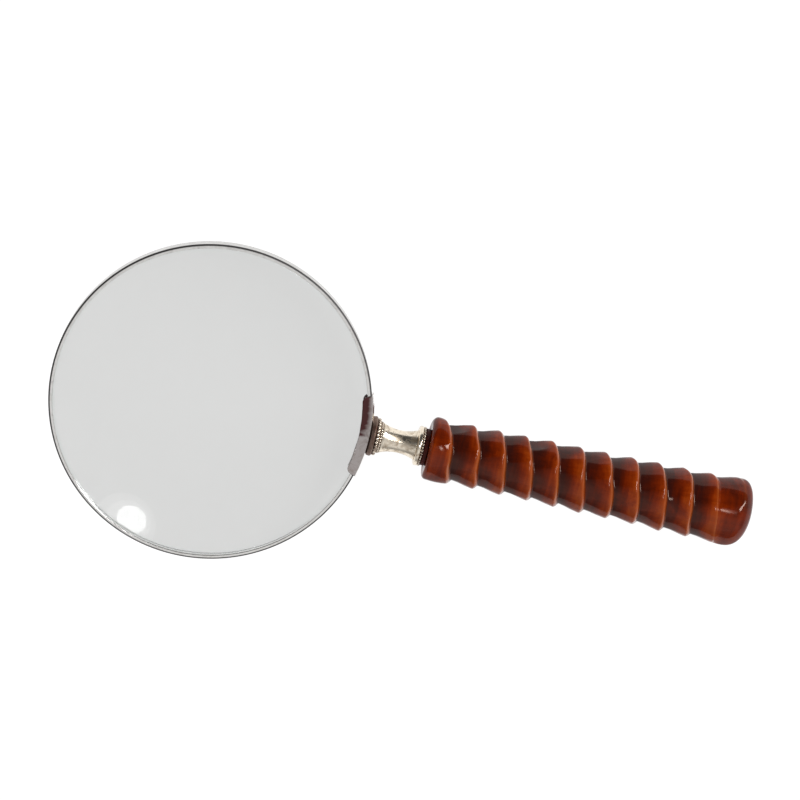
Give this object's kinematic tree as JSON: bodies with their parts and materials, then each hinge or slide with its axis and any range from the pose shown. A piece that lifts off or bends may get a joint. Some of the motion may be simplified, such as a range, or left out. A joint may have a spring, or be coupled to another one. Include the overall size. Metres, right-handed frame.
{
  "type": "magnifying glass",
  "caption": "Hand magnifier: large biconvex lens in a thin plated rim, saddle clasp, beaded collar, waisted neck and a tapered carved wooden handle with one helical ridge.",
  "frame": {"origin": "centre of the lens", "axes": "+Z along the optical axis, towards the viewer; +X along the handle, from the lens to the butt; +Y across the lens"},
  "size_m": [0.254, 0.114, 0.0258],
  "materials": {
    "lens_glass": "clear polished crown glass",
    "rim_plate": "polished silver plate on brass",
    "saddle_plate": "worn satin silver plate on brass",
    "neck_plate": "polished nickel silver, lightly pitted",
    "bead_plate": "silver plate with brown tarnish between the beads",
    "stub_brass": "bare machined brass",
    "washer_leather": "dark waxed leather",
    "tang_steel": "turned steel",
    "handle_lacquer": "glossy amber-brown lacquer, darker in the grooves"
  },
  "bodies": {
    "root": {"lens": "lens_glass", "rim_band": "rim_plate", "rim_stub_upper": "stub_brass", "rim_stub_lower": "stub_brass", "saddle": "saddle_plate", "collar_base": "bead_plate", "collar_bead_ring": "bead_plate", "collar_step_ring": "bead_plate", "neck": "neck_plate", "flange": "neck_plate", "flange_bead_ring": "bead_plate", "washer": "washer_leather", "tang": "tang_steel", "handle": "handle_lacquer"}
  },
  "joints": []
}
